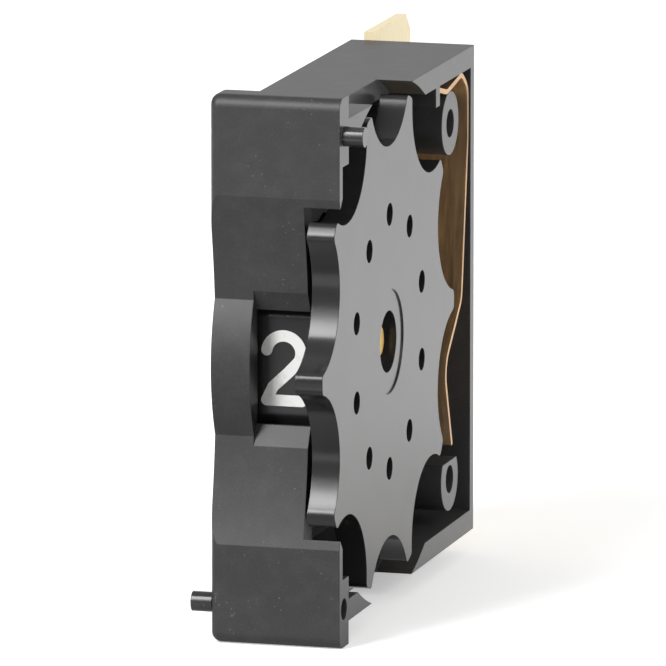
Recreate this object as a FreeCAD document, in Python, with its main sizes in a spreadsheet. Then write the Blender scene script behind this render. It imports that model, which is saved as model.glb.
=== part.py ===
import FreeCAD, Part
import Sketcher
import os
from math import atan2, pi, tan

# A thumbwheel switch module: a moulded case with its bezel, a lobed wheel that
# carries the digits, and the contacts that turn a digit into a code.
# X runs across the module, from the closed side to the open one, Y from the bezel
# to the rear, and Z up. The origin lies midway between the two tie-rod holes,
# halfway across the module. Lengths are in millimetres.

SIZES = {
    # the case, from the bezel's front plane
    "moduleWidth": 8.0,
    "bezelHeight": 33.0,
    "bezelThick": 2.0,
    "bezelRound": 0.7,
    "cornerRound": 0.55,
    "bezelLip": 1.4,
    "dishHalf": 10.5,
    "dishRadius": 40.0,
    "rearRoom": 4.1,
    "caseInset": 0.2,
    "sideWall": 0.8,
    "edgeWall": 1.3,
    "rearWall": 0.8,
    # beside the wheel the bezel is thinned from behind to a lip
    "lipThick": 0.65,
    "lipShort": 2.5,
    # the window, and the guard bar at its left
    "windowLeft": 2.4,
    "windowHalf": 3.45,
    "windowBevel": 3.4,
    "windowSeat": 1.75,
    "guardHalf": 4.1,
    "guardProud": 0.3,
    # the bosses that the tie rods run through
    "tieAhead": 1.0,
    "bossIn": 4.06,
    "bossRadius": 1.95,
    "tieHoleRadius": 0.87,
    "bossShort": 0.15,
    "bossFlat": 1.12,
    # the pegs and sockets that line up a row of modules
    "pegRadius": 0.6,
    "pegLong": 1.3,
    "pegBack": 0.95,
    "pegUp": 2.3,
    "socketGap": 0.05,
    "socketSpare": 0.4,
    # the wheel
    "lobeProud": 3.2,
    "positions": 10,
    "lobeShort": 0.2,
    "lobeDeep": 3.0,
    "lobeTip": 0.58,
    "lobeRoundShare": 0.65,
    "discThick": 1.7,
    "wheelInset": 0.15,
    "drumShort": 5.7,
    "drumBehind": 0.15,
    "drumRim": 0.8,
    "drumHollow": 0.8,
    "hubRadius": 2.2,
    "stopRing": 7.74,
    "stopHoleRadius": 0.69,
    "stopHoleDeep": 1.2,
    "faceRecess": 3.18,
    "faceRecessDeep": 0.09,
    "hubMouth": 1.87,
    "hubMouthDeep": 1.45,
    "slotGap": 0.35,
    "wellGap": 0.85,
    "slotSide": 0.4,
    # the axle and its push-on washer
    "axleRadius": 1.0,
    "axleShort": 0.6,
    "axleTip": 0.12,
    "axleHead": 1.7,
    "axleHeadThick": 0.35,
    "runningGap": 0.05,
    "washerRadius": 1.72,
    "washerThick": 0.2,
    "washerSlots": 6,
    "washerSlotHalf": 0.12,
    "washerSlotDeep": 0.3,
    # the code board
    "boardThick": 0.6,
    "boardClear": 0.24,
    "boardFront": 3.6,
    "boardGap": 0.05,
    "boardHoleGap": 0.2,
    "tabProud": 0.5,
    "tabLong": 8.6,
    "tabChamfer": 1.0,
    "railThick": 0.6,
    # the copper on the board
    "copper": 0.04,
    "trackFirst": 3.1,
    "trackApart": 0.95,
    "trackWide": 0.7,
    "linkWide": 0.1,
    "sectorEase": 2.0,
    "padPitch": 5.08,
    "padLong": 3.6,
    "padHigh": 2.4,
    "padHole": 0.45,
    "padInset": 1.4,
    # the wiper
    "wiperThick": 0.15,
    "fingerWide": 0.4,
    "fingerReach": 3.1,
    "fingerFoot": 0.2,
    "fingerCurl": 0.3,
    "barWide": 1.4,
    "wiperGap": 0.03,
    "stakeRadius": 0.35,
    "stakeGap": 0.02,
    "stakeLong": 0.4,
    # the leaf spring: its corners from the line of the tie rods, and down from the
    # case's inner top or up from the wheel's axis
    "leafThick": 0.3,
    "leafLeft": 1.0,
    "leafRight": 0.1,
    "leafWallGap": 0.1,
    "hookAhead": 2.7,
    "hookDrop": 0.3,
    "saddleAhead": 0.9,
    "saddleDrop": 0.7,
    "crestBehind": 2.6,
    "crestDrop": 0.14,
    "heelDrop": 1.2,
    "backDrop": 4.2,
    "shoulderBehind": 2.6,
    "shoulderUp": -0.3,
    "kneeAhead": 1.4,
    "kneeUp": -3.85,
    "tailBehind": 0.35,
    "tailUp": -8.85,
    "saddleBend": 1.2,
    "crestBend": 1.1,
    "heelBend": 1.4,
    "backBend": 3.0,
    "shoulderBend": 1.6,
    "kneeBend": 2.0,
    "ribThick": 0.9,
    "ribHang": 1.2,
    "ribGap": 0.1,
}

# Places that several pieces share.
LEFT = "(-moduleWidth / 2)"
RIGHT = "(moduleWidth / 2)"
LOBE = "(bezelHeight / 2 - bezelLip - lobeShort)"
VALLEY = "(bezelHeight / 2 - bezelLip - lobeShort - lobeDeep)"
DRUM = "(bezelHeight / 2 - bezelLip - lobeShort - drumShort)"
AXIS = "(tieAhead + lobeShort + bezelLip - bezelHeight / 2)"
FRONT = "(tieAhead + lobeProud + 2 * lobeShort + 2 * bezelLip - bezelHeight)"
BEZEL_BACK = "(tieAhead + lobeProud + 2 * lobeShort + 2 * bezelLip - bezelHeight + bezelThick)"
REAR = "(tieAhead + rearRoom)"
REAR_INSIDE = "(tieAhead + rearRoom - rearWall)"
CASE_TOP = "(bezelHeight / 2 - bezelLip)"
INSIDE_TOP = "(bezelHeight / 2 - bezelLip - edgeWall)"
TIE_UP = "(bezelHeight / 2 - bezelLip - bossIn)"
BOARD_HALF = "(bezelHeight / 2 - bezelLip - bossIn - bossRadius - boardClear)"
TAB_HALF = "(bezelHeight / 2 - bezelLip + tabProud)"
CASE_LEFT = "(caseInset - moduleWidth / 2)"
FLOOR = "(caseInset + sideWall - moduleWidth / 2)"
BOARD_FACE = "(caseInset + sideWall + boardThick - moduleWidth / 2)"
COPPER_FACE = "(caseInset + sideWall + boardThick + copper - moduleWidth / 2)"
HUB_LEFT = "(caseInset + sideWall + boardThick + copper + runningGap - moduleWidth / 2)"
DISC_FACE = "(moduleWidth / 2 - wheelInset)"
DISC_BACK = "(moduleWidth / 2 - wheelInset - discThick)"
DRUM_LEFT = "(windowLeft - drumBehind - moduleWidth / 2)"
DRUM_FLOOR = "(windowLeft - drumBehind + drumHollow - moduleWidth / 2)"
SLOT_DEEP = "(wheelInset + discThick + slotSide)"
HALF_STEP = "(180 deg / positions)"

doc = FreeCAD.newDocument("thumbwheel_switch")
sheet = doc.addObject("Spreadsheet::Sheet", "Sizes")
for row, (alias, number) in enumerate(SIZES.items(), start=1):
    sheet.set("A%d" % row, alias)
    sheet.set("B%d" % row, str(number))
    sheet.setAlias("B%d" % row, alias)
doc.recompute()


def sized(formula):
    # Write each alias in a formula as a cell of the sheet.
    words = []
    word = ""
    for letter in str(formula) + " ":
        if letter.isalnum():
            word += letter
            continue
        words.append("Sizes." + word if word in SIZES else word)
        words.append(letter)
        word = ""
    return "".join(words).strip()


def number(formula):
    return float(sheet.evalExpression(sized(formula)))


def bind(thing, path, formula):
    thing.setExpression(path, sized(formula))


def newBody(label, onAxis=False):
    # A body on the wheel's axis is drawn about its own X axis and moved there.
    body = doc.addObject("PartDesign::Body", label)
    body.Label = label
    body.AllowCompound = True
    if onAxis:
        bind(body, "Placement.Base.y", AXIS)
    return body


def originPart(body, role):
    found = [part for part in body.Origin.OriginFeatures if part.Role == role]
    return found[0]


def newSketch(body, name, level, role="YZ_Plane"):
    sketch = body.newObject("Sketcher::SketchObject", name)
    sketch.AttachmentSupport = [(originPart(body, role), "")]
    sketch.MapMode = "FlatFace"
    bind(sketch, "AttachmentOffset.Base.z", level)
    return sketch


def drive(sketch, kind, refs, formula, name):
    # Add a dimension that follows a formula.
    sketch.addConstraint(Sketcher.Constraint(kind, *refs, number(formula)))
    index = sketch.ConstraintCount - 1
    sketch.renameConstraint(index, name)
    bind(sketch, "Constraints." + name, formula)


def pin(sketch, geo, end, across, up, name):
    # Place a point of the sketch. A zero puts it on the sketch's own axis.
    if across == "0":
        sketch.addConstraint(Sketcher.Constraint("PointOnObject", geo, end, -2))
    else:
        drive(sketch, "DistanceX", (-1, 1, geo, end), across, name + "Across")
    if up == "0":
        sketch.addConstraint(Sketcher.Constraint("PointOnObject", geo, end, -1))
    else:
        drive(sketch, "DistanceY", (-1, 1, geo, end), up, name + "Up")


def ring(sketch, across, up, radius, name="ring"):
    centre = FreeCAD.Vector(number(across), number(up), 0)
    circle = Part.Circle(centre, FreeCAD.Vector(0, 0, 1), number(radius))
    geo = sketch.addGeometry(circle, False)
    pin(sketch, geo, 3, across, up, name)
    drive(sketch, "Radius", (geo,), radius, name + "Radius")


def arcSide(sketch, start, stop, arc):
    radius, across, up, turn = arc
    centre = FreeCAD.Vector(number(across), number(up), 0)
    circle = Part.Circle(centre, FreeCAD.Vector(0, 0, 1), number(radius))
    first = atan2(start.y - centre.y, start.x - centre.x)
    last = atan2(stop.y - centre.y, stop.x - centre.x)
    if turn == "clockwise":
        first, last = last, first
    while last <= first:
        last += 2 * pi
    geo = sketch.addGeometry(Part.ArcOfCircle(circle, first, last), False)
    return (geo, 2, 1) if turn == "clockwise" else (geo, 1, 2)


def outline(sketch, corners, arcs=None, name="corner"):
    # A closed outline of straight sides. arcs gives a side (radius, centre across,
    # centre up, turn) where it is round.
    arcs = arcs or {}
    spots = [FreeCAD.Vector(number(across), number(up), 0) for across, up in corners]
    ends = []
    for side, start in enumerate(spots):
        stop = spots[(side + 1) % len(spots)]
        if side in arcs:
            ends.append(arcSide(sketch, start, stop, arcs[side]))
        else:
            geo = sketch.addGeometry(Part.LineSegment(start, stop), False)
            ends.append((geo, 1, 2))
    for side, (geo, begin, finish) in enumerate(ends):
        before = ends[side - 1]
        sketch.addConstraint(Sketcher.Constraint("Coincident", before[0], before[2], geo, begin))
        pin(sketch, geo, begin, corners[side][0], corners[side][1], name + str(side))
        if side in arcs:
            drive(sketch, "Radius", (geo,), arcs[side][0], name + "Radius" + str(side))


def block(sketch, front, back, bottom, top, name="corner"):
    outline(sketch, [(front, bottom), (back, bottom), (back, top), (front, top)], None, name)


def pad(body, name, level, length, draw, role="YZ_Plane"):
    # Raise a sketch from a level towards the open side.
    sketch = newSketch(body, name + "Sketch", level, role)
    draw(sketch)
    feature = body.newObject("PartDesign::Pad", name)
    feature.Profile = sketch
    bind(feature, "Length", length)
    doc.recompute()
    return feature


def pocket(body, name, level, depth, draw):
    # Cut from a level back towards the closed side, and make sure that it cuts.
    before = body.Shape.Volume
    sketch = newSketch(body, name + "Sketch", level)
    draw(sketch)
    feature = body.newObject("PartDesign::Pocket", name)
    feature.Profile = sketch
    bind(feature, "Length", depth)
    doc.recompute()
    if body.Shape.Volume >= before:
        raise ValueError("nothing was cut by " + name)
    return feature


def around(body, feature, name, count="positions"):
    pattern = body.newObject("PartDesign::PolarPattern", name)
    pattern.Originals = [feature]
    pattern.Axis = (originPart(body, "X_Axis"), [""])
    pattern.Angle = 360
    bind(pattern, "Occurrences", count)
    body.Tip = pattern
    doc.recompute()


def edgesAlong(shape, direction, test):
    # Names of the straight edges that run in a direction and start where test allows.
    names = []
    for index, edge in enumerate(shape.Edges, start=1):
        if edge.Curve.TypeId != "Part::GeomLine":
            continue
        start, stop = [vertex.Point for vertex in edge.Vertexes]
        if (stop - start).cross(direction).Length < 1e-4 and test(start):
            names.append("Edge%d" % index)
    return names


def dress(body, kind, name, edges, path, size):
    base = body.Tip
    feature = body.newObject("PartDesign::" + kind, name)
    feature.Base = (base, edges)
    bind(feature, path, size)
    body.Tip = feature
    doc.recompute()


def caseWalls(body):
    # An open box: the right side is closed by the next module in the row.
    pad(body, "Block", CASE_LEFT, "moduleWidth - caseInset",
        lambda s: block(s, BEZEL_BACK, REAR, "-" + CASE_TOP, CASE_TOP))
    pocket(body, "Inside", RIGHT, "moduleWidth - caseInset - sideWall",
           lambda s: block(s, BEZEL_BACK, REAR_INSIDE, "-" + INSIDE_TOP, INSIDE_TOP))
    pocket(body, "WheelWell", RIGHT, SLOT_DEEP,
           lambda s: ring(s, AXIS, "0", LOBE + " + wellGap"))


def bezelPlate(body):
    # The front plate has a shallow dish that leads a finger to the wheel.
    top = "(bezelHeight / 2)"
    edge = "(bezelHeight / 2 - bezelRound)"
    lip = FRONT + " + bezelRound"
    dishCentre = FRONT + " - sqrt(dishRadius ^ 2 - dishHalf ^ 2)"
    corners = [(lip, "-" + top), (BEZEL_BACK, "-" + top), (BEZEL_BACK, top), (lip, top),
               (FRONT, edge), (FRONT, "dishHalf"), (FRONT, "-dishHalf"), (FRONT, "-" + edge)]
    arcs = {3: ("bezelRound", lip, edge, "counterclockwise"),
            5: ("dishRadius", dishCentre, "0", "clockwise"),
            7: ("bezelRound", lip, "-" + edge, "counterclockwise")}
    pad(body, "Bezel", LEFT, "moduleWidth", lambda s: outline(s, corners, arcs))
    side = number(LEFT)
    end = number(top)
    edges = edgesAlong(body.Tip.Shape, FreeCAD.Vector(0, 1, 0),
                       lambda p: abs(p.x - side) < 1e-4 and abs(abs(p.z) - end) < 1e-4)
    dress(body, "Fillet", "BezelCorners", edges, "Radius", "cornerRound")
    pocket(body, "WheelSlot", RIGHT, SLOT_DEEP,
           lambda s: ring(s, AXIS, "0", LOBE + " + slotGap"))
    lip = "(" + LOBE + " - lipShort)"
    pocket(body, "LipRecess", RIGHT, SLOT_DEEP,
           lambda s: block(s, FRONT + " + lipThick", BEZEL_BACK, "-" + lip, lip))


def digitWindow(body):
    wide = "(windowHalf + windowBevel)"
    seat = FRONT + " + windowSeat"
    corners = [(FRONT, "-" + wide), (seat, "-windowHalf"), (BEZEL_BACK, "-windowHalf"),
               (BEZEL_BACK, "windowHalf"), (seat, "windowHalf"), (FRONT, wide)]
    pocket(body, "Window", RIGHT, "moduleWidth - windowLeft", lambda s: outline(s, corners))
    # The guard bar swells out of the dish beside the window.
    dish = "sqrt(dishRadius ^ 2 - guardHalf ^ 2) - sqrt(dishRadius ^ 2 - dishHalf ^ 2)"
    rise = "(" + dish + " - guardProud)"
    radius = "((guardHalf ^ 2 + " + rise + " ^ 2) / (2 * " + rise + "))"
    foot = FRONT + " + " + dish
    centre = FRONT + " + guardProud + " + radius
    bar = [(BEZEL_BACK, "-guardHalf"), (BEZEL_BACK, "guardHalf"),
           (foot, "guardHalf"), (foot, "-guardHalf")]
    pad(body, "GuardBar", LEFT, "windowLeft",
        lambda s: outline(s, bar, {2: (radius, centre, "0", "counterclockwise")}))


def tieBosses(body):
    upper = TIE_UP
    lower = "-" + TIE_UP

    def both(radius):
        return lambda s: (ring(s, "0", upper, radius, "upper"), ring(s, "0", lower, radius, "lower"))

    deep = "moduleWidth - caseInset - sideWall"
    pad(body, "Bosses", FLOOR, deep + " - bossShort", both("bossRadius"))
    # The lower boss is cut flat, which leaves room for the spring's free end.
    pocket(body, "BossFlat", RIGHT, deep,
           lambda s: block(s, "-bossRadius", "bossRadius",
                           lower + " + bossFlat", lower + " + bossRadius"))
    pocket(body, "TieHoles", RIGHT, "moduleWidth", both("tieHoleRadius"))


def caseDetails(body):
    # The rib that traps the spring's hooked end.
    ribBack = "(-hookAhead - leafThick / 2 - ribGap)"
    pad(body, "SpringRib", FLOOR, "moduleWidth - caseInset - sideWall",
        lambda s: block(s, ribBack + " - ribThick", ribBack, INSIDE_TOP + " - ribHang", INSIDE_TOP))
    # Two rails guide the board, and a slot in the rear wall lets it through.
    near = "(" + BOARD_HALF + " + boardGap)"
    far = "(" + BOARD_HALF + " + boardGap + railThick)"
    rails = FRONT + " + boardFront"
    pad(body, "UpperRail", FLOOR, "boardThick",
        lambda s: block(s, rails, REAR_INSIDE, near, far))
    pad(body, "LowerRail", FLOOR, "boardThick",
        lambda s: block(s, rails, REAR_INSIDE, "-" + far, "-" + near))
    pocket(body, "BoardSlot", BOARD_FACE + " + boardGap", "boardThick + boardGap",
           lambda s: block(s, REAR_INSIDE, REAR, "-" + near, near))
    # The axle is pressed through the closed side, its head flush outside.
    pocket(body, "AxleHole", FLOOR, "sideWall", lambda s: ring(s, AXIS, "0", "axleRadius"))
    pocket(body, "AxleHeadSeat", CASE_LEFT + " + axleHeadThick", "axleHeadThick",
           lambda s: ring(s, AXIS, "0", "axleHead"))
    # Each side has a peg, and a socket for the peg of the module next to it.
    across = FRONT + " + pegBack"
    low = "(-bezelHeight / 2 + pegUp)"
    high = "(bezelHeight / 2 - pegUp)"
    deep = "(pegLong + socketSpare)"
    pad(body, "LeftPeg", LEFT + " - pegLong", "pegLong", lambda s: ring(s, across, low, "pegRadius"))
    pad(body, "RightPeg", RIGHT, "pegLong", lambda s: ring(s, across, high, "pegRadius"))
    pocket(body, "RightSocket", RIGHT, deep, lambda s: ring(s, across, low, "pegRadius + socketGap"))
    pocket(body, "LeftSocket", LEFT + " + " + deep, deep,
           lambda s: ring(s, across, high, "pegRadius + socketGap"))


def makeHousing():
    body = newBody("housing")
    caseWalls(body)
    bezelPlate(body)
    digitWindow(body)
    tieBosses(body)
    caseDetails(body)


def wheelDrum(body):
    # The drum has one flat for each digit, the first facing the window.
    corner = "(" + DRUM + " / cos" + HALF_STEP + ")"
    pad(body, "Drum", DRUM_LEFT, DISC_BACK + " - " + DRUM_LEFT, lambda s: ring(s, "0", "0", corner))
    flat = pocket(body, "DigitFlat", DISC_BACK, DISC_BACK + " - " + DRUM_LEFT,
                  lambda s: block(s, "-" + corner, "-" + DRUM, "-" + DRUM + " / 2", DRUM + " / 2"))
    around(body, flat, "DigitFlats")


def wheelLobes(body):
    pad(body, "Disc", DISC_BACK, "discThick", lambda s: ring(s, "0", "0", LOBE))
    # A scallop runs from one lobe's tip, through the valley, to the next lobe's tip.
    half = "(" + LOBE + " * sin(180 deg / positions) - lobeTip * cos(180 deg / positions))"
    deep = "(" + LOBE + " * cos(180 deg / positions) + lobeTip * sin(180 deg / positions) - " + VALLEY + ")"
    radius = "((" + half + " ^ 2 + " + deep + " ^ 2) / (2 * " + deep + "))"
    reach = "(" + VALLEY + " + " + radius + ")"
    scallop = pocket(body, "Scallop", DISC_FACE, "discThick",
                     lambda s: ring(s, reach + " * cos" + HALF_STEP,
                                    reach + " * sin" + HALF_STEP, radius))
    around(body, scallop, "Scallops")
    rim = number(LOBE)
    tips = edgesAlong(body.Tip.Shape, FreeCAD.Vector(1, 0, 0),
                      lambda p: abs((p.y ** 2 + p.z ** 2) ** 0.5 - rim) < 1e-3)
    dress(body, "Fillet", "LobeTips", tips, "Radius", "lobeTip * lobeRoundShare")


def wheelFace(body):
    # Blind holes take stop pins that limit the wheel to a range of digits.
    hole = pocket(body, "StopHole", DISC_FACE, "stopHoleDeep",
                  lambda s: ring(s, "stopRing * cos" + HALF_STEP,
                                 "stopRing * sin" + HALF_STEP, "stopHoleRadius"))
    around(body, hole, "StopHoles")
    pocket(body, "FaceRecess", DISC_FACE, "faceRecessDeep", lambda s: ring(s, "0", "0", "faceRecess"))
    pocket(body, "HubMouth", DISC_FACE, "hubMouthDeep", lambda s: ring(s, "0", "0", "hubMouth"))


def wheelHub(body):
    pocket(body, "Hollow", DRUM_FLOOR, "drumHollow",
           lambda s: ring(s, "0", "0", DRUM + " - drumRim"))
    pad(body, "Hub", HUB_LEFT, DRUM_FLOOR + " - " + HUB_LEFT, lambda s: ring(s, "0", "0", "hubRadius"))
    pad(body, "Stakes", DRUM_FLOOR + " - stakeLong", "stakeLong", lambda s: stakes(s, "stakeRadius"))
    pocket(body, "Bore", DISC_FACE, DISC_FACE + " - " + HUB_LEFT,
           lambda s: ring(s, "0", "0", "axleRadius + runningGap"))


def stakes(sketch, radius):
    # Two stakes of the wheel hold the wiper by its bar.
    across = "fingerReach + barWide / 2"
    for name, place in (("inner", 0.5), ("outer", 3.5)):
        ring(sketch, across, "trackFirst + %s * trackApart" % place, radius, name)


def makeWheel():
    body = newBody("thumbwheel", onAxis=True)
    wheelDrum(body)
    wheelLobes(body)
    wheelFace(body)
    wheelHub(body)


def makeAxle():
    body = newBody("axle_pin", onAxis=True)
    under = CASE_LEFT + " + axleHeadThick"
    end = DISC_FACE + " - axleShort"
    corners = [(CASE_LEFT, "0"), (end, "0"), (end, "axleRadius - axleTip"),
               (end + " - axleTip", "axleRadius"), (under, "axleRadius"),
               (under, "axleHead"), (CASE_LEFT, "axleHead")]
    sketch = newSketch(body, "PinProfile", "0", "XY_Plane")
    outline(sketch, corners)
    turned = body.newObject("PartDesign::Revolution", "TurnedPin")
    turned.Profile = sketch
    turned.ReferenceAxis = (originPart(body, "X_Axis"), [""])
    turned.Angle = 360
    doc.recompute()


def makeWasher():
    # A push-on washer whose slots let its edge grip the axle.
    body = newBody("retaining_washer", onAxis=True)
    level = DISC_FACE + " - hubMouthDeep + runningGap"
    pad(body, "Disc", level, "washerThick",
        lambda s: (ring(s, "0", "0", "washerRadius"), ring(s, "0", "0", "axleRadius", "hole")))
    slot = pocket(body, "Slot", level + " + washerThick", "washerThick",
                  lambda s: block(s, "axleRadius / 2", "axleRadius + washerSlotDeep",
                                  "-washerSlotHalf", "washerSlotHalf"))
    around(body, slot, "Slots", "washerSlots")


def padSpots():
    # The terminals stand in a row on the board's tab.
    across = REAR + " + tabLong - padInset - padLong / 2"
    return [(across, "%d * padPitch" % place if place else "0") for place in range(-2, 3)]


def makeBoard():
    body = newBody("code_board")
    end = REAR + " + tabLong"
    front = FRONT + " + boardFront"
    corners = [(front, "-" + BOARD_HALF), (REAR, "-" + BOARD_HALF), (REAR, "-" + TAB_HALF),
               (end + " - tabChamfer", "-" + TAB_HALF), (end, "-" + TAB_HALF + " + tabChamfer"),
               (end, TAB_HALF + " - tabChamfer"), (end + " - tabChamfer", TAB_HALF),
               (REAR, TAB_HALF), (REAR, BOARD_HALF), (front, BOARD_HALF)]
    pad(body, "Sheet", FLOOR, "boardThick", lambda s: outline(s, corners))
    pocket(body, "AxleClearance", BOARD_FACE, "boardThick",
           lambda s: ring(s, AXIS, "0", "axleRadius + boardHoleGap"))

    def holes(sketch):
        for place, (across, up) in enumerate(padSpots()):
            ring(sketch, across, up, "padHole", "hole%d" % place)

    pocket(body, "TerminalHoles", BOARD_FACE, "boardThick", holes)


def makePads():
    body = newBody("terminal_pads")

    def draw(sketch):
        for place, (across, up) in enumerate(padSpots()):
            block(sketch, across + " - padLong / 2", across + " + padLong / 2",
                  up + " - padHigh / 2", up + " + padHigh / 2", "pad%dcorner" % place)
            ring(sketch, across, up, "padHole", "hole%d" % place)

    pad(body, "Pads", BOARD_FACE, "copper", draw)


def trackEdges(place):
    middle = "(trackFirst + %d * trackApart)" % place
    return middle + " - trackWide / 2", middle + " + trackWide / 2"


def makeTrack(label, place, runs):
    # A code track: a thin link round the rim, and a wide sector for each run of
    # digits that closes the contact.
    body = newBody(label, onAxis=True)
    inner, outer = trackEdges(place)
    if not runs:
        pad(body, "Ring", BOARD_FACE, "copper",
            lambda s: (ring(s, "0", "0", inner, "inner"), ring(s, "0", "0", outer, "outer")))
        return
    pad(body, "Link", BOARD_FACE, "copper",
        lambda s: (ring(s, "0", "0", outer + " - linkWide", "inner"), ring(s, "0", "0", outer, "outer")))
    for first, last in runs:
        start = "(90 deg + (%d * 2 - 5) * 180 deg / positions + sectorEase * 1 deg)" % first
        stop = "(90 deg + (%d * 2 - 3) * 180 deg / positions - sectorEase * 1 deg)" % last
        corners = []
        for reach, angle in ((inner, start), (outer, start), (outer, stop), (inner, stop)):
            corners.append(("(" + reach + ") * cos" + angle, "(" + reach + ") * sin" + angle))
        arcs = {1: (outer, "0", "0", "counterclockwise"), 3: (inner, "0", "0", "clockwise")}
        pad(body, "Run%d" % first, BOARD_FACE, "copper", lambda s: outline(s, corners, arcs))


def makeTracks():
    makeTrack("common_track", 0, [])
    makeTrack("code_track_8", 1, [(8, 9)])
    makeTrack("code_track_4", 2, [(4, 7)])
    makeTrack("code_track_2", 3, [(2, 3), (6, 7)])
    makeTrack("code_track_1", 4, [(digit, digit) for digit in (1, 3, 5, 7, 9)])


def makeWiper():
    # One strip of spring bronze: a bar on the wheel's stakes, and a finger for each
    # track that slopes to the board and turns up at its tip.
    body = newBody("wiper", onAxis=True)
    seat = DRUM_FLOOR
    back = "(" + DRUM_FLOOR + " - wiperThick)"
    touch = "(" + COPPER_FACE + " + wiperGap)"
    low = "trackFirst - fingerWide / 2"
    pad(body, "Bar", back, "wiperThick",
        lambda s: block(s, "fingerReach", "fingerReach + barWide",
                        low, "trackFirst + 4 * trackApart + fingerWide / 2"))
    pocket(body, "StakeHoles", seat, "wiperThick", lambda s: stakes(s, "stakeRadius + stakeGap"))
    corners = [(back, "fingerReach"), (touch, "fingerFoot"), (touch, "-fingerFoot"),
               (touch + " + fingerCurl", "-fingerFoot - fingerCurl"),
               (touch + " + fingerCurl + wiperThick", "-fingerFoot - fingerCurl + wiperThick / 2"),
               (touch + " + wiperThick", "-fingerFoot / 2"),
               (touch + " + wiperThick", "fingerFoot"),
               (seat, "fingerReach"), (seat, "fingerReach + fingerFoot"),
               (back, "fingerReach + fingerFoot")]
    finger = pad(body, "Finger", low, "fingerWide", lambda s: outline(s, corners), "XY_Plane")
    row = body.newObject("PartDesign::LinearPattern", "Fingers")
    row.Originals = [finger]
    row.Direction = (originPart(body, "Z_Axis"), [""])
    bind(row, "Length", "4 * trackApart")
    row.Occurrences = 5
    body.Tip = row
    doc.recompute()


def bentWire(corners, bends):
    # Straight runs joined by tangent arcs.
    edges = []
    start = corners[0]
    for before, here, after, bend in zip(corners, corners[1:], corners[2:], bends):
        come = (here - before).normalize()
        leave = (after - here).normalize()
        trim = bend * tan(come.getAngle(leave) / 2)
        first = here - come * trim
        last = here + leave * trim
        inward = (leave - come).normalize()
        middle = here + inward * ((trim ** 2 + bend ** 2) ** 0.5 - bend)
        edges.append(Part.LineSegment(start, first).toShape())
        edges.append(Part.Arc(first, middle, last).toShape())
        start = last
    edges.append(Part.LineSegment(start, corners[-1]).toShape())
    return Part.Wire(edges)


def makeSpring():
    # The leaf hooks behind its rib, rides over the upper boss, runs down the rear
    # wall and leans into a valley of the wheel.
    heel = REAR_INSIDE + " - leafWallGap - leafThick / 2"
    places = [("-hookAhead", INSIDE_TOP + " - hookDrop"),
              ("-saddleAhead", INSIDE_TOP + " - saddleDrop"),
              ("crestBehind", INSIDE_TOP + " - crestDrop"),
              (heel, INSIDE_TOP + " - heelDrop"),
              (heel, INSIDE_TOP + " - backDrop"),
              ("shoulderBehind", "shoulderUp"),
              ("-kneeAhead", "kneeUp"),
              ("tailBehind", "tailUp")]
    bends = ["saddleBend", "crestBend", "heelBend", "backBend", "shoulderBend", "kneeBend"]
    level = number(FLOOR + " + leafLeft")
    corners = [FreeCAD.Vector(level, number(across), number(up)) for across, up in places]
    spine = bentWire(corners, [number(bend) for bend in bends])
    edge = spine.makeOffset2D(number("leafThick / 2"), 0, False, False, False)
    width = number("moduleWidth - caseInset - sideWall - leafLeft - leafRight")
    strip = doc.addObject("Part::Feature", "detent_spring")
    strip.Label = "detent_spring"
    strip.Shape = Part.Face(edge).extrude(FreeCAD.Vector(width, 0, 0))
    doc.recompute()


makeHousing()
makeWheel()
makeAxle()
makeWasher()
makeBoard()
makePads()
makeTracks()
makeWiper()
makeSpring()
doc.recompute()

for thing in doc.Objects:
    if "Invalid" in thing.State or "Error" in thing.State:
        raise ValueError(thing.Name + " failed")

os.makedirs("parts", exist_ok=True)
for thing in doc.Objects:
    if thing.TypeId not in ("PartDesign::Body", "Part::Feature"):
        continue
    if thing.Shape.isNull() or not thing.Shape.isValid():
        raise ValueError(thing.Label + " has no sound shape")
    thing.Shape.exportStep("parts/" + thing.Label + ".step")
    box = thing.Shape.BoundBox
    print("%-18s solids %d volume %8.3f  X %.2f %.2f  Y %.2f %.2f  Z %.2f %.2f" % (
        thing.Label, len(thing.Shape.Solids), thing.Shape.Volume,
        box.XMin, box.XMax, box.YMin, box.YMax, box.ZMin, box.ZMax))
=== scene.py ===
import bpy
import math
from mathutils import Matrix, Vector


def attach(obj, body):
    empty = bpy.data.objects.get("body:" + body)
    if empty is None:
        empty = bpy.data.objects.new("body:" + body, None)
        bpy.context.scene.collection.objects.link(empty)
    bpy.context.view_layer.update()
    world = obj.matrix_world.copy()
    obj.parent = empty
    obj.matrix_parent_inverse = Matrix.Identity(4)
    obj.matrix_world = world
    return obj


# A thumbwheel switch module, dressed for a product photograph. The CAD's frame is
# in metres: X along the wheel's axle, -Y out of the front, Z up. The dictionaries
# of sizes and looks are in millimetres, and the lamps and the camera in metres.

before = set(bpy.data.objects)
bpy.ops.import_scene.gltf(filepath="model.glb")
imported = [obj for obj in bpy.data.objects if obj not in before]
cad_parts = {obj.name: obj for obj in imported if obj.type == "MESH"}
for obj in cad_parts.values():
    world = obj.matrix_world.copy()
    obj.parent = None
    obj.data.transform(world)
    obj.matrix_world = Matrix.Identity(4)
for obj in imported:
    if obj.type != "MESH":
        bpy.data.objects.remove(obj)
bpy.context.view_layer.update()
scene = bpy.context.scene
print("frame loaded:", len(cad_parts), "nodes")
mm = 0.001
# most of what a noise texture gives lies between these
noiseLow, noiseHigh = 0.3, 0.7


def linear(hexColour):
    # sRGB hex to the linear colour that Blender's sockets take
    parts = [int(hexColour[i:i + 2], 16) / 255 for i in (1, 3, 5)]
    return [p / 12.92 if p <= 0.04045 else ((p + 0.055) / 1.055) ** 2.4 for p in parts] + [1]


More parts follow.
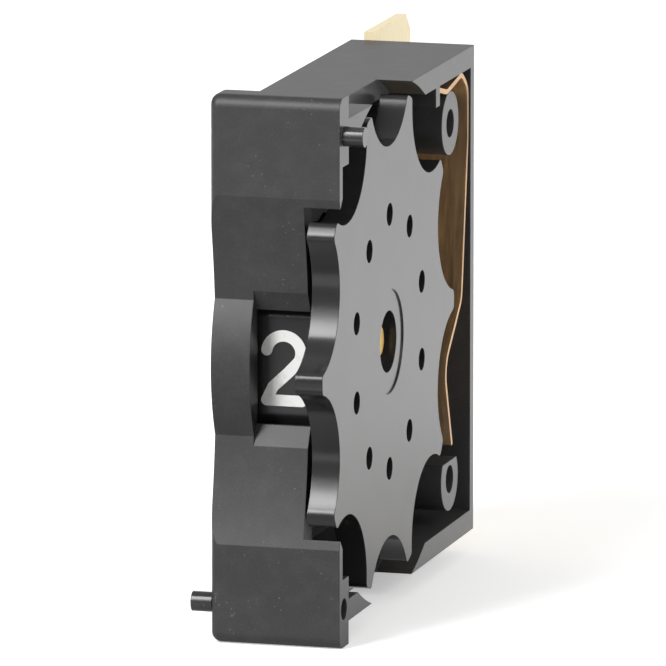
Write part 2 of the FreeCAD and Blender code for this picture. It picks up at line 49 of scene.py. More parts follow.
def addNode(tree, kind, settings=None, inputs=None):
    # Add one node; an input is a plain value, or a socket to link from
    node = tree.nodes.new(kind)
    for name, value in (settings or {}).items():
        setattr(node, name, value)
    for name, value in (inputs or {}).items():
        if isinstance(value, bpy.types.NodeSocket):
            tree.links.new(value, node.inputs[name])
        else:
            node.inputs[name].default_value = value
    return node


def newMaterial(name):
    material = bpy.data.materials.new(name)
    material.use_nodes = True
    tree = material.node_tree
    tree.nodes.clear()
    return material, tree


def finishMaterial(tree, shader):
    addNode(tree, "ShaderNodeOutputMaterial", None, {"Surface": shader.outputs["BSDF"]})
    # lay the nodes out in rows, in the order in which they were added
    perRow, across, down = 6, 200, 300
    for place, node in enumerate(tree.nodes):
        node.location = (across * (place % perRow), -down * (place // perRow))


def dress(names, material):
    for name in names:
        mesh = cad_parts[name].data
        mesh.materials.clear()
        mesh.materials.append(material)


caseLook = {
    "plain": "#303031",        # black moulding compound
    "worn": "#3F3F40",         # where handling has polished it paler
    "ior": 1.53,
    "edge": 0.07,              # mm, how round the moulded edges look
    "grainWidth": 0.13,        # mm, the tool's texture, drawn a little coarse so that it shows
    "grainDepth": 0.008,       # mm
    "grainRelief": 0.35,       # how much of that depth the light picks up
    "mottle": 0.5,             # how far the grain itself pales the surface
    "wearWidth": 1.3,          # mm, the patches of wear
    "wearMost": 0.5,           # how far they pale it
    "paleFrom": 0.45,          # the noise at which grain and wear start to show
    "paleFull": 0.75,
    "dust": "#8E8D89",
    "speckWidth": 0.24,        # mm, about two specks of dust
    "driftWidth": 2.6,         # mm, the patches where the specks lie thicker
    "driftShare": 0.22,        # how much the patches count against the specks
    "dustClear": 0.855,        # higher is cleaner
    "dustSoft": 0.08,          # from a speck's rim to its middle
    "dustCover": 0.3,
    "dustBelow": 0.004,        # how much sooner it shows at the foot
    "dustFrom": 12,            # mm, the height below which it starts to
    "dustFoot": -16,           # mm, the height of the foot
    "roughness": 0.47,
    "roughSpread": 0.02,
    "sideSmoother": 0.16,      # the faces across the stack are left plain
    "sideFacing": 0.85,        # how squarely along X a face of that kind looks
    "pegsFrom": 4.01,          # mm across, past which only the pegs reach
    "pegRoughness": 0.2,       # they form in reamed holes, so they come out glossy
}


def sparkErodedAbs(look):
    # Black ABS from a spark-eroded tool: a fine even grain that breaks up the
    # gloss, with pale dust caught in it
    material, tree = newMaterial("sparkErodedAbs")
    where = addNode(tree, "ShaderNodeTexCoord").outputs
    place = where["Object"]
    spot = addNode(tree, "ShaderNodeSeparateXYZ", None, {"Vector": place}).outputs
    facing = addNode(tree, "ShaderNodeSeparateXYZ", None, {"Vector": where["Normal"]})
    turned = addNode(tree, "ShaderNodeMath", {"operation": "ABSOLUTE"}, {0: facing.outputs["X"]})
    side = addNode(tree, "ShaderNodeMath", {"operation": "GREATER_THAN"},
                   {0: turned.outputs["Value"], 1: look["sideFacing"]})
    reach = addNode(tree, "ShaderNodeMath", {"operation": "ABSOLUTE"}, {0: spot["X"]})
    peg = addNode(tree, "ShaderNodeMath", {"operation": "GREATER_THAN"},
                  {0: reach.outputs["Value"], 1: look["pegsFrom"] * mm})
    bare = addNode(tree, "ShaderNodeMath", {"operation": "MAXIMUM"},
                   {0: side.outputs["Value"], 1: peg.outputs["Value"]})
    grain = addNode(tree, "ShaderNodeTexNoise", None,
                    {"Vector": place, "Scale": 1 / (look["grainWidth"] * mm), "Detail": 2.0})
    blotch = addNode(tree, "ShaderNodeTexNoise", None,
                     {"Vector": place, "Scale": 1 / (look["wearWidth"] * mm), "Detail": 4.0})
    wear = addNode(tree, "ShaderNodeMapRange", None,
                   {"Value": blotch.outputs["Fac"], "From Min": look["paleFrom"],
                    "From Max": look["paleFull"], "To Max": look["wearMost"]})
    pits = addNode(tree, "ShaderNodeMapRange", None,
                   {"Value": grain.outputs["Fac"], "From Min": look["paleFrom"],
                    "From Max": look["paleFull"], "To Max": look["mottle"]})
    pale = addNode(tree, "ShaderNodeMath", {"operation": "ADD", "use_clamp": True},
                   {0: wear.outputs["Result"], 1: pits.outputs["Result"]})
    body = addNode(tree, "ShaderNodeMix", {"data_type": "RGBA"},
                   {"Factor": pale.outputs["Value"], "A": linear(look["plain"]),
                    "B": linear(look["worn"])})
    # dust lies as specks about as wide as the grain, thicker in patches and at the foot
    specks = addNode(tree, "ShaderNodeTexNoise", None,
                     {"Vector": place, "Scale": 1 / (look["speckWidth"] * mm), "Detail": 1.0})
    drift = addNode(tree, "ShaderNodeTexNoise", None,
                    {"Vector": place, "Scale": 1 / (look["driftWidth"] * mm), "Detail": 1.0})
    both = addNode(tree, "ShaderNodeMath", {"operation": "MULTIPLY_ADD"},
                   {0: drift.outputs["Fac"], 1: look["driftShare"], 2: specks.outputs["Fac"]})
    low = addNode(tree, "ShaderNodeMapRange", None,
                  {"Value": spot["Z"], "From Min": look["dustFrom"] * mm,
                   "From Max": look["dustFoot"] * mm, "To Max": look["dustBelow"]})
    total = addNode(tree, "ShaderNodeMath", {"operation": "ADD"},
                    {0: both.outputs["Value"], 1: low.outputs["Result"]})
    dust = addNode(tree, "ShaderNodeMapRange", None,
                   {"Value": total.outputs["Value"], "From Min": look["dustClear"],
                    "From Max": look["dustClear"] + look["dustSoft"], "To Max": look["dustCover"]})
    colour = addNode(tree, "ShaderNodeMix", {"data_type": "RGBA"},
                     {"Factor": dust.outputs["Result"], "A": body.outputs["Result"],
                      "B": linear(look["dust"])})
    rough = addNode(tree, "ShaderNodeMapRange", None,
                    {"Value": grain.outputs["Fac"], "From Min": noiseLow, "From Max": noiseHigh,
                     "To Min": look["roughness"] - look["roughSpread"],
                     "To Max": look["roughness"] + look["roughSpread"]})
    smooth = addNode(tree, "ShaderNodeMath", {"operation": "MULTIPLY_ADD"},
                     {0: side.outputs["Value"], 1: -look["sideSmoother"], 2: rough.outputs["Result"]})
    gloss = addNode(tree, "ShaderNodeMapRange", None,
                    {"Value": peg.outputs["Value"], "To Min": smooth.outputs["Value"],
                     "To Max": look["pegRoughness"]})
    edge = addNode(tree, "ShaderNodeBevel", {"samples": 6}, {"Radius": look["edge"] * mm})
    relief = addNode(tree, "ShaderNodeMapRange", None,
                     {"Value": bare.outputs["Value"], "To Min": look["grainRelief"], "To Max": 0.0})
    bump = addNode(tree, "ShaderNodeBump", None,
                   {"Strength": relief.outputs["Result"], "Distance": look["grainDepth"] * mm,
                    "Height": grain.outputs["Fac"], "Normal": edge.outputs["Normal"]})
    shader = addNode(tree, "ShaderNodeBsdfPrincipled", None,
                     {"Base Color": colour.outputs["Result"], "Roughness": gloss.outputs["Result"],
                      "Normal": bump.outputs["Normal"], "IOR": look["ior"]})
    finishMaterial(tree, shader)
    return material


wheelLook = {
    "plain": "#272728",
    "smear": "#2C2C2D",
    "ior": 1.48,
    "roughness": 0.18,
    "roughSpread": 0.02,
    "waveWidth": 3.2,          # mm, the flow marks of the moulding
    "waveBend": 0.6,
    "faceEdge": 0.06,          # mm, how round the edges of the flat face look
    "axleEdge": 0.38,          # mm, the same for the edges that run with the axle
    "faceFacing": 0.5,         # how squarely along X the flat face looks
}


def polishedAcetal(look):
    # Black acetal from a polished tool: clean and glossy, with the faint uneven
    # sheen that the melt leaves as it flows from the hub to the lobes
    material, tree = newMaterial("polishedAcetal")
    where = addNode(tree, "ShaderNodeTexCoord").outputs
    flow = addNode(tree, "ShaderNodeTexNoise", None,
                   {"Vector": where["Object"], "Scale": 1 / (look["waveWidth"] * mm), "Detail": 3.0,
                    "Distortion": look["waveBend"]})
    body = addNode(tree, "ShaderNodeMix", {"data_type": "RGBA"},
                   {"Factor": flow.outputs["Fac"], "A": linear(look["plain"]),
                    "B": linear(look["smear"])})
    rough = addNode(tree, "ShaderNodeMapRange", None,
                    {"Value": flow.outputs["Fac"], "From Min": noiseLow, "From Max": noiseHigh,
                     "To Min": look["roughness"] - look["roughSpread"],
                     "To Max": look["roughness"] + look["roughSpread"]})
    # the lobes' and the facets' edges are rounder than the flat face's outline: away
    # from the face, Y and Z of the normal come from the large round and X from the small
    small = addNode(tree, "ShaderNodeBevel", {"samples": 6}, {"Radius": look["faceEdge"] * mm})
    large = addNode(tree, "ShaderNodeBevel", {"samples": 8}, {"Radius": look["axleEdge"] * mm})
    across = addNode(tree, "ShaderNodeSeparateXYZ", None, {"Vector": small.outputs["Normal"]})
    along = addNode(tree, "ShaderNodeSeparateXYZ", None, {"Vector": large.outputs["Normal"]})
    joined = addNode(tree, "ShaderNodeCombineXYZ", None,
                     {"X": across.outputs["X"], "Y": along.outputs["Y"], "Z": along.outputs["Z"]})
    slope = addNode(tree, "ShaderNodeSeparateXYZ", None, {"Vector": where["Normal"]})
    flat = addNode(tree, "ShaderNodeMath", {"operation": "ABSOLUTE"}, {0: slope.outputs["X"]})
    face = addNode(tree, "ShaderNodeMath", {"operation": "GREATER_THAN"},
                   {0: flat.outputs["Value"], 1: look["faceFacing"]})
    edge = addNode(tree, "ShaderNodeMix", {"data_type": "VECTOR"},
                   {"Factor": face.outputs["Value"], "A": joined.outputs["Vector"],
                    "B": small.outputs["Normal"]})
    shader = addNode(tree, "ShaderNodeBsdfPrincipled", None,
                     {"Base Color": body.outputs["Result"], "Roughness": rough.outputs["Result"],
                      "Normal": edge.outputs["Result"], "IOR": look["ior"]})
    finishMaterial(tree, shader)
    return material


tarnishLook = {
    "width": 2.2,              # mm, the patches of tarnish
    "darkBelow": 0.12,         # lines and patches multiplied, fully tarnished below this
    "brightAbove": 0.42,
    "smoother": 0.06,          # the faint lines are this much smoother
    "rougher": 0.08,           # and the deep ones this much rougher
}


def linedMetal(look):
    # Metal with the fine lines that rolling or turning leaves, tarnished in patches
    material, tree = newMaterial(look["name"])
    place = addNode(tree, "ShaderNodeTexCoord").outputs["Object"]
    stretch = addNode(tree, "ShaderNodeMapping", None,
                      {"Vector": place, "Scale": [count / mm for count in look["lines"]]})
    streak = addNode(tree, "ShaderNodeTexNoise", None,
                     {"Vector": stretch.outputs["Vector"], "Scale": 1.0, "Detail": 3.0})
    tarnish = addNode(tree, "ShaderNodeTexNoise", None,
                      {"Vector": place, "Scale": 1 / (tarnishLook["width"] * mm), "Detail": 2.0})
    share = addNode(tree, "ShaderNodeMath", {"operation": "MULTIPLY"},
                    {0: streak.outputs["Fac"], 1: tarnish.outputs["Fac"]})
    shade = addNode(tree, "ShaderNodeMapRange", None,
                    {"Value": share.outputs["Value"], "From Min": tarnishLook["darkBelow"],
                     "From Max": tarnishLook["brightAbove"]})
    body = addNode(tree, "ShaderNodeMix", {"data_type": "RGBA"},
                   {"Factor": shade.outputs["Result"], "A": linear(look["dark"]),
                    "B": linear(look["plain"])})
    rough = addNode(tree, "ShaderNodeMapRange", None,
                    {"Value": streak.outputs["Fac"], "From Min": noiseLow, "From Max": noiseHigh,
                     "To Min": look["roughness"] - tarnishLook["smoother"],
                     "To Max": look["roughness"] + tarnishLook["rougher"]})
    shader = addNode(tree, "ShaderNodeBsdfPrincipled", None,
                     {"Base Color": body.outputs["Result"], "Roughness": rough.outputs["Result"],
                      "Metallic": 1.0})
    finishMaterial(tree, shader)
    return material


# strip rolled along its length, a little brown with age
bronzeLook = {
    "name": "rolledPhosphorBronze",
    "plain": "#D9B48A",
    "dark": "#C5A480",
    "roughness": 0.48,
    "lines": (6, 0.4, 0.4),    # in a millimetre along X, Y and Z
}
# turned rod: fine rings that read as a soft, warm gloss
brassLook = {
    "name": "turnedBrass",
    "plain": "#F0D080",
    "dark": "#DFBA66",
    "roughness": 0.38,
    "lines": (16, 1, 1),
}
# gold over copper, bright and smooth
goldLook = {
    "name": "goldPlatedCopper",
    "plain": "#F0CB78",
    "dark": "#DDB059",
    "roughness": 0.26,
    "lines": (2, 6, 6),
}
# stamped spring steel, zinc plated
zincLook = {
    "name": "zincPlatedSteel",
    "plain": "#C9CACB",
    "dark": "#9C9EA1",
    "roughness": 0.34,
    "lines": (2, 9, 9),
}


boardLook = {
    "resin": "#DCCB9F",
    "fibre": "#EADDBA",
    "fibreWidth": 0.35,        # mm, the paper's grain
    "fibreLong": 4,            # times as long as wide, up the board
    "roughness": 0.5,
    "ior": 1.55,
}


def phenolicPaper(look):
    # Pressed paper laminate: cream, waxy, with the paper's grain just showing
    material, tree = newMaterial("phenolicPaper")
    place = addNode(tree, "ShaderNodeTexCoord").outputs["Object"]
    stretch = addNode(tree, "ShaderNodeMapping", None,
                      {"Vector": place, "Scale": (1, 1, 1 / look["fibreLong"])})
    fibre = addNode(tree, "ShaderNodeTexNoise", None,
                    {"Vector": stretch.outputs["Vector"],
                     "Scale": 1 / (look["fibreWidth"] * mm), "Detail": 4.0})
    body = addNode(tree, "ShaderNodeMix", {"data_type": "RGBA"},
                   {"Factor": fibre.outputs["Fac"], "A": linear(look["resin"]),
                    "B": linear(look["fibre"])})
    shader = addNode(tree, "ShaderNodeBsdfPrincipled", None,
                     {"Base Color": body.outputs["Result"], "Roughness": look["roughness"],
                      "IOR": look["ior"]})
    finishMaterial(tree, shader)
    return material


inkLook = {
    "white": "#F1F1EF",
    "thin": "#DFDFDC",
    "spotWidth": 0.5,          # mm, the places where the foil is thin
    "spotFrom": 0.55,          # the noise at which they start to show
    "spotFull": 0.75,
    "roughness": 0.5,
    "ior": 1.5,
}


def hotStampedInk(look):
    # White stamping foil pressed on the flats: nearly even, a little thin in spots
    material, tree = newMaterial("hotStampedInk")
    place = addNode(tree, "ShaderNodeTexCoord").outputs["Object"]
    spots = addNode(tree, "ShaderNodeTexNoise", None,
                    {"Vector": place, "Scale": 1 / (look["spotWidth"] * mm), "Detail": 2.0})
    thin = addNode(tree, "ShaderNodeMapRange", None,
                   {"Value": spots.outputs["Fac"], "From Min": look["spotFrom"],
                    "From Max": look["spotFull"]})
    body = addNode(tree, "ShaderNodeMix", {"data_type": "RGBA"},
                   {"Factor": thin.outputs["Result"], "A": linear(look["white"]),
                    "B": linear(look["thin"])})
    shader = addNode(tree, "ShaderNodeBsdfPrincipled", None,
                     {"Base Color": body.outputs["Result"], "Roughness": look["roughness"],
                      "IOR": look["ior"]})
    finishMaterial(tree, shader)
    return material


dress(["housing"], sparkErodedAbs(caseLook))
dress(["thumbwheel"], polishedAcetal(wheelLook))
dress(["detent_spring", "wiper"], linedMetal(bronzeLook))
dress(["axle_pin"], linedMetal(brassLook))
dress(["retaining_washer"], linedMetal(zincLook))
dress(["code_board"], phenolicPaper(boardLook))
dress(["terminal_pads", "common_track", "code_track_1", "code_track_2",
       "code_track_4", "code_track_8"], linedMetal(goldLook))
print("CAD pieces dressed")

digitSizes = {
    "height": 3.9,             # mm, to the middle of the stroke
    "width": 2.2,              # mm, the same
    "stroke": 0.68,            # mm
    "step": 0.002,             # mm, by which each stroke of a digit lies over the last
    "capSteps": 10,            # flats round a stroke's end
    "mitre": 0.55,             # least cosine at a corner, so that a sharp turn makes no spike
    "lift": -0.16,             # mm, the digit's middle above that of its flat
    "inkThick": 0.03,          # mm
    "sunk": 0.01,              # mm of it in the drum
    "weld": 0.001,             # mm, the points that are nearer than this are joined
    "middleX": -0.13,          # mm along the axle, where the digits' middle lies
    "shown": 2,                # the digit that faces the window
    "axisY": -13.9,            # mm, the wheel's axis
    "drumFlat": 9.2,           # mm, from the axis to a flat
    "flats": 10,
}


def arc(cx, cy, rx, ry, start, stop, steps=18):
    turn = [math.radians(start + (stop - start) * k / steps) for k in range(steps + 1)]
    return [(cx + rx * math.cos(t), cy + ry * math.sin(t)) for t in turn]


# each stroke's points, across 0 to 1 and up 0 to 2
digitStrokes = {
    0: [arc(0.5, 1.0, 0.5, 1.0, 0, 360, 40)],
    1: [[(0.18, 1.62), (0.55, 2.0)], [(0.55, 2.0), (0.55, 0.0)]],
    2: [arc(0.5, 1.47, 0.48, 0.53, 172, -28) + [(0.62, 0.86), (0.2, 0.42), (0.02, 0.0)],
        [(0.02, 0.0), (1.0, 0.0)]],
    3: [arc(0.47, 1.53, 0.46, 0.47, 160, -90), arc(0.47, 0.53, 0.53, 0.53, 90, -160)],
    4: [[(0.78, 2.0), (0.0, 0.62)], [(0.0, 0.62), (1.05, 0.62)], [(0.78, 0.0), (0.78, 2.0)]],
    5: [[(0.92, 2.0), (0.14, 2.0)], [(0.14, 2.0), (0.08, 1.12)],
        arc(0.47, 0.66, 0.53, 0.66, 137, -155)],
    6: [[(0.78, 2.0), (0.3, 1.35), (0.08, 0.85)], arc(0.5, 0.6, 0.5, 0.6, 150, 510, 40)],
    7: [[(0.0, 2.0), (1.0, 2.0)], [(1.0, 2.0), (0.38, 0.0)]],
    8: [arc(0.5, 1.52, 0.42, 0.48, 0, 360, 32), arc(0.5, 0.52, 0.5, 0.52, 0, 360, 36)],
    9: [[(0.22, 0.0), (0.7, 0.65), (0.92, 1.15)], arc(0.5, 1.4, 0.5, 0.6, -30, 330, 40)],
}


def strokeOutline(points, half, sizes):
    # Faces of a flat line of even width with round ends, one quad to a step
    touching = 1e-9
    closed = (Vector(points[0]) - Vector(points[-1])).length < touching
    line = [Vector(p) for p in (points[:-1] if closed else points)]
    count = len(line)
    verts, faces = [], []
    for k, spot in enumerate(line):
        before = line[k - 1] if closed or k else spot
        after = line[(k + 1) % count] if closed or k < count - 1 else spot
        come = (spot - before).normalized()
        leave = (after - spot).normalized()
        mean = (come + leave).normalized()
        side = Vector((-mean.y, mean.x))
        reach = half / max(sizes["mitre"], mean.dot(leave if leave.length else come))
        verts += [spot + side * reach, spot - side * reach]
    for k in range(count if closed else count - 1):
        a, b = 2 * k, 2 * ((k + 1) % count)
        faces.append((a, a + 1, b + 1, b))
    if closed:
        return verts, faces
    steps = sizes["capSteps"]
    for spot, toward, first, last in ((line[0], line[0] - line[1], 1, 0),
                                      (line[-1], line[-1] - line[-2], 2 * count - 2, 2 * count - 1)):
        base = math.atan2(toward.y, toward.x)
        start = len(verts)
        for step in range(1, steps):
            turn = base + math.pi / 2 - math.pi * step / steps
            verts.append(spot + half * Vector((math.cos(turn), math.sin(turn))))
        rim = [first] + list(range(start, len(verts))) + [last]
        faces.append(tuple(reversed(rim)))
    return verts, faces


def digitMesh(digit, sizes):
    # One digit, flat in XY with its middle at the origin
    verts, faces = [], []
    for level, stroke in enumerate(digitStrokes[digit]):
        points = [((x - 0.5) * sizes["width"] * mm,
                   ((y - 1) * sizes["height"] / 2 + sizes["lift"]) * mm) for x, y in stroke]
        spots, quads = strokeOutline(points, sizes["stroke"] / 2 * mm, sizes)
        start = len(verts)
        # each stroke lies a hair higher than the last, so that no two faces coincide
        verts += [(p.x, p.y, level * sizes["step"] * mm) for p in spots]
        faces += [tuple(start + k for k in face) for face in quads]
    mesh = bpy.data.meshes.new("digit%d" % digit)
    mesh.from_pydata(verts, [], faces)
    mesh.update()
    return mesh


def ringOfDigits(material, digits, values):
    # Geometry Nodes: set digit k on flat k of a drum, raise the ink, join it all
    tree = bpy.data.node_groups.new("ringOfDigits", "GeometryNodeTree")
    tree.is_modifier = True
    tree.interface.new_socket(name="Geometry", in_out="OUTPUT", socket_type="NodeSocketGeometry")
    for name, value in values.items():
        kind = "NodeSocketInt" if isinstance(value, int) else "NodeSocketFloat"
        tree.interface.new_socket(name=name, in_out="INPUT", socket_type=kind)
    group = addNode(tree, "NodeGroupInput").outputs
    index = addNode(tree, "GeometryNodeInputIndex").outputs["Index"]
    past = addNode(tree, "ShaderNodeMath", {"operation": "SUBTRACT"}, {0: index, 1: group["Shown Digit"]})
    step = addNode(tree, "ShaderNodeMath", {"operation": "DIVIDE"}, {0: math.tau, 1: group["Flats"]})
    turn = addNode(tree, "ShaderNodeMath", {"operation": "MULTIPLY"},
                   {0: past.outputs["Value"], 1: step.outputs["Value"]})
    back = addNode(tree, "ShaderNodeMath", {"operation": "MULTIPLY"}, {0: turn.outputs["Value"], 1: -1.0})
    level = addNode(tree, "ShaderNodeMath", {"operation": "SUBTRACT"},
                    {0: group["Drum Flat"], 1: group["Sunk"]})
    outward = addNode(tree, "ShaderNodeMath", {"operation": "MULTIPLY"}, {0: level.outputs["Value"], 1: -1.0})
    spot = addNode(tree, "ShaderNodeCombineXYZ", None, {"Y": outward.outputs["Value"]})
    angle = addNode(tree, "ShaderNodeCombineXYZ", None, {"X": back.outputs["Value"]})
    placed = addNode(tree, "ShaderNodeVectorRotate", {"rotation_type": "EULER_XYZ"},
                     {"Vector": spot.outputs["Vector"], "Rotation": angle.outputs["Vector"]})
    points = addNode(tree, "GeometryNodePoints", None,
                     {"Count": group["Flats"], "Position": placed.outputs["Vector"]})
    # the digits are drawn flat, so each is first stood up to face the front
    stand = addNode(tree, "ShaderNodeMath", {"operation": "ADD"},
                    {0: back.outputs["Value"], 1: math.pi / 2})
    facing = addNode(tree, "ShaderNodeCombineXYZ", None, {"X": stand.outputs["Value"]})
    glyphs = addNode(tree, "GeometryNodeCollectionInfo", None,
                     {"Collection": digits, "Separate Children": True, "Reset Children": True})
    ring = addNode(tree, "GeometryNodeInstanceOnPoints", None,
                   {"Points": points.outputs["Points"], "Instance": glyphs.outputs["Instances"],
                    "Pick Instance": True, "Instance Index": index,
                    "Rotation": facing.outputs["Vector"]})
    real = addNode(tree, "GeometryNodeRealizeInstances", None, {"Geometry": ring.outputs["Instances"]})
    raised = addNode(tree, "GeometryNodeExtrudeMesh", None,
                     {"Mesh": real.outputs["Geometry"], "Offset Scale": group["Ink Thickness"],
                      "Individual": False})
    under = addNode(tree, "GeometryNodeFlipFaces", None, {"Mesh": real.outputs["Geometry"]})
    whole = addNode(tree, "GeometryNodeJoinGeometry")
    tree.links.new(raised.outputs["Mesh"], whole.inputs["Geometry"])
    tree.links.new(under.outputs["Mesh"], whole.inputs["Geometry"])
    solid = addNode(tree, "GeometryNodeMergeByDistance", None,
                    {"Geometry": whole.outputs["Geometry"], "Distance": group["Weld"]})
    coated = addNode(tree, "GeometryNodeSetMaterial", None,
                     {"Geometry": solid.outputs["Geometry"], "Material": material})
    addNode(tree, "NodeGroupOutput", None, {"Geometry": coated.outputs["Geometry"]})
    return tree


def bake(name, tree, values, shift):
    # Run a node tree on a new object and keep the result as a plain mesh at the origin
    carrier = bpy.data.objects.new(name + "Carrier", bpy.data.meshes.new(name + "Carrier"))
    scene.collection.objects.link(carrier)
    modifier = carrier.modifiers.new(name, "NODES")
    modifier.node_group = tree
    for item in tree.interface.items_tree:
        if item.in_out == "INPUT":
            modifier[item.identifier] = values[item.name]
    bpy.context.view_layer.update()
    made = bpy.data.meshes.new_from_object(carrier.evaluated_get(bpy.context.evaluated_depsgraph_get()))
    bpy.data.objects.remove(carrier)
    made.transform(Matrix.Translation(shift))
    piece = bpy.data.objects.new(name, made)
    scene.collection.objects.link(piece)
    return piece


def makeDigits(sizes):
    shelf = bpy.data.collections.new("digitStrokes")
    for digit in digitStrokes:
        shelf.objects.link(bpy.data.objects.new("digit%d" % digit, digitMesh(digit, sizes)))
    values = {
        "Flats": sizes["flats"],
        "Drum Flat": sizes["drumFlat"] * mm,
        "Ink Thickness": sizes["inkThick"] * mm,
        "Sunk": sizes["sunk"] * mm,
        "Shown Digit": sizes["shown"],
        "Weld": sizes["weld"] * mm,
    }
    shift = Vector((sizes["middleX"], sizes["axisY"], 0)) * mm
    tree = ringOfDigits(hotStampedInk(inkLook), shelf, values)
    digits = bake("drum_digits", tree, values, shift)
    for digit in digitStrokes:
        bpy.data.objects.remove(bpy.data.objects["digit%d" % digit])
    bpy.data.collections.remove(shelf)
    return digits


drumDigits = makeDigits(digitSizes)
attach(drumDigits, "wheel")
print("digits set round the drum:", len(drumDigits.data.polygons), "faces")

stageLook = {
    "floorZ": -16.52,          # mm, just under the bezel
    "floorSize": 2400,         # mm
    "floor": "#F4F4F3",
    "floorRoughness": 0.9,
    "light": "#FFFFFF",        # of the glow and the sky
    "floorGlow": 0.35,         # what the camera sees over the floor's own light
    "backGlow": 0.42,          # the lit sweep behind, as glossy faces see it
    "backFrom": -60,           # mm along Y, where the sweep starts to be lit
    "backFull": 20,            # mm along Y, from where it is lit in full
    "paintedShadeCard": "#5A5A5A",    # painted shade: the floor in front is painted dark grey for the part's reflections and bounced light, while the camera sees it pale
    "cardGap": 25,             # mm, half of the pale strip left open across the painted shade
    "cardGapY": -85,           # mm, the strip's middle
    "cardSoft": 2,             # mm, half of the width over which its edges fade
    "background": 1.0,
    "reflected": 0.3,          # the sky, as glossy faces see it
    "ambient": 0.45,           # the sky's light on everything else
}


def makeFloor(look):
    size = look["floorSize"] / 2 * mm
    z = look["floorZ"] * mm
    mesh = bpy.data.meshes.new("studioFloor")
    mesh.from_pydata([(-size, -size, z), (size, -size, z), (size, size, z), (-size, size, z)], [],
                     [(0, 1, 2, 3)])
    floor = bpy.data.objects.new("studioFloor", mesh)
    scene.collection.objects.link(floor)
    material, tree = newMaterial("paperSweep")
    path = addNode(tree, "ShaderNodeLightPath").outputs
    place = addNode(tree, "ShaderNodeTexCoord").outputs["Object"]
    depth = addNode(tree, "ShaderNodeSeparateXYZ", None, {"Vector": place}).outputs["Y"]
    behind = addNode(tree, "ShaderNodeMapRange", {"interpolation_type": "SMOOTHSTEP"},
                     {"Value": depth, "From Min": look["backFrom"] * mm,
                      "From Max": look["backFull"] * mm})
    mirrored = addNode(tree, "ShaderNodeMath", {"operation": "MULTIPLY"},
                       {0: behind.outputs["Result"], 1: path["Is Glossy Ray"]})
    seen = addNode(tree, "ShaderNodeMath", {"operation": "MULTIPLY"},
                   {0: path["Is Camera Ray"], 1: look["floorGlow"]})
    glow = addNode(tree, "ShaderNodeMath", {"operation": "MULTIPLY_ADD"},
                   {0: mirrored.outputs["Value"], 1: look["backGlow"], 2: seen.outputs["Value"]})
    # painted shade: to reflected and bounced rays the floor in front reads dark, apart from the strip
    offset = addNode(tree, "ShaderNodeMath", {"operation": "SUBTRACT"},
                     {0: depth, 1: look["cardGapY"] * mm})
    away = addNode(tree, "ShaderNodeMath", {"operation": "ABSOLUTE"}, {0: offset.outputs["Value"]})
    gap = addNode(tree, "ShaderNodeMapRange", None,
                  {"Value": away.outputs["Value"],
                   "From Min": (look["cardGap"] + look["cardSoft"]) * mm,
                   "From Max": (look["cardGap"] - look["cardSoft"]) * mm})
    bare = addNode(tree, "ShaderNodeMath", {"operation": "MAXIMUM"},
                   {0: behind.outputs["Result"], 1: gap.outputs["Result"]})
    covered = addNode(tree, "ShaderNodeMath", {"operation": "SUBTRACT"},
                      {0: 1.0, 1: bare.outputs["Value"]})
    bounced = addNode(tree, "ShaderNodeMath", {"operation": "MAXIMUM"},
                      {0: path["Is Glossy Ray"], 1: path["Is Diffuse Ray"]})
    paintedShade = addNode(tree, "ShaderNodeMath", {"operation": "MULTIPLY"},
                   {0: bounced.outputs["Value"], 1: covered.outputs["Value"]})
    paper = addNode(tree, "ShaderNodeMix", {"data_type": "RGBA"},
                    {"Factor": paintedShade.outputs["Value"], "A": linear(look["floor"]),
                     "B": linear(look["paintedShadeCard"])})
    shader = addNode(tree, "ShaderNodeBsdfPrincipled", None,
                     {"Base Color": paper.outputs["Result"], "Roughness": look["floorRoughness"],
                      "Emission Color": linear(look["light"]),
                      "Emission Strength": glow.outputs["Value"]})
    finishMaterial(tree, shader)
    mesh.materials.append(material)


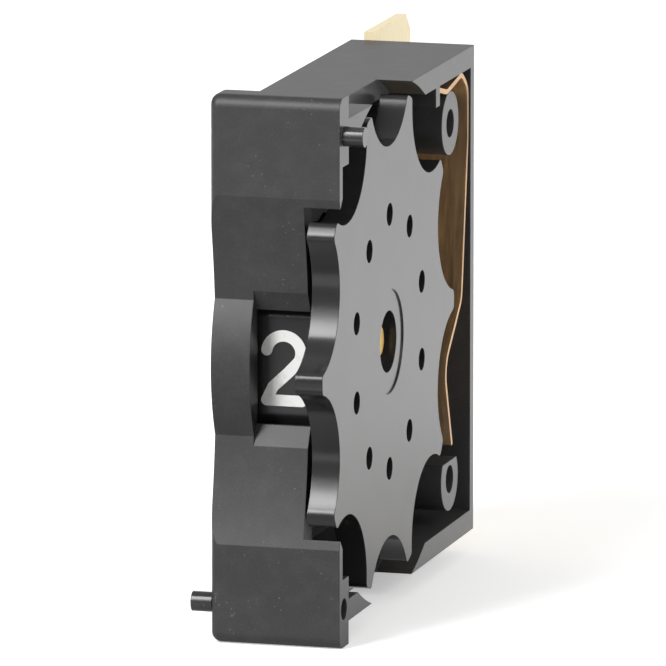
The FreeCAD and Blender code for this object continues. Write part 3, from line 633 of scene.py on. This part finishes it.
def makeWorld(look):
    world = bpy.data.worlds.new("studioWorld")
    scene.world = world
    world.use_nodes = True
    tree = world.node_tree
    tree.nodes.clear()
    path = addNode(tree, "ShaderNodeLightPath").outputs
    seen = addNode(tree, "ShaderNodeMath", {"operation": "MAXIMUM"},
                   {0: path["Is Camera Ray"], 1: path["Is Transmission Ray"]})
    dull = addNode(tree, "ShaderNodeMapRange", None,
                   {"Value": path["Is Glossy Ray"], "To Min": look["ambient"],
                    "To Max": look["reflected"]})
    strength = addNode(tree, "ShaderNodeMapRange", None,
                       {"Value": seen.outputs["Value"], "To Min": dull.outputs["Result"],
                        "To Max": look["background"]})
    sky = addNode(tree, "ShaderNodeBackground", None,
                  {"Color": linear(look["light"]), "Strength": strength.outputs["Result"]})
    addNode(tree, "ShaderNodeOutputWorld", None, {"Surface": sky.outputs["Background"]})


lamps = {
    # name: (place, aim, width, height, watts), in metres
    "leftSoftbox": ((-0.45, -0.55, 0.35), (0, -0.01, 0), 0.35, 0.35, 0.9),
    # this one shows in the edges and flats that lean back by some 15 to 35 degrees
    "topSoftbox": ((-0.211, -0.421, 0.349), (0, -0.01, 0), 0.16, 0.44, 3.0),
    "rightSoftbox": ((0.5, -0.1, 0.2), (0, -0.01, 0), 0.3, 0.4, 1.7),
    # the lit wall behind, which the top faces mirror
    "backWall": ((0.1, 1.3, 0.4), (0, 0, 0.1), 2.4, 0.9, 5.2),
}


def makeLamps():
    for name, (place, aim, width, height, watts) in lamps.items():
        light = bpy.data.lights.new(name, "AREA")
        light.shape = "RECTANGLE"
        light.size = width
        light.size_y = height
        light.energy = watts
        lamp = bpy.data.objects.new(name, light)
        lamp.location = place
        lamp.rotation_euler = (Vector(aim) - Vector(place)).to_track_quat("-Z", "Y").to_euler()
        lamp.visible_camera = False
        scene.collection.objects.link(lamp)


# a long lens from the front right, fitted to the photograph
cameraFit = {
    "place": (0.18357, -0.67046, 0.12623),     # metres
    "turn": 15.594,            # degrees to the right of straight on
    "tilt": 10.463,            # degrees down
    "lens": 624.7,             # mm
    "sensor": 36,              # mm
    "clip": (0.01, 50),        # metres
}


def makeCamera(fit):
    data = bpy.data.cameras.new("productCamera")
    data.sensor_width = fit["sensor"]
    data.lens = fit["lens"]
    data.clip_start, data.clip_end = fit["clip"]
    camera = bpy.data.objects.new("productCamera", data)
    camera.location = fit["place"]
    camera.rotation_euler = (math.radians(90 - fit["tilt"]), 0, math.radians(fit["turn"]))
    scene.collection.objects.link(camera)
    scene.camera = camera


makeFloor(stageLook)
makeWorld(stageLook)
makeLamps()
makeCamera(cameraFit)
scene.view_settings.view_transform = "Standard"
print("stage, lamps and camera set")
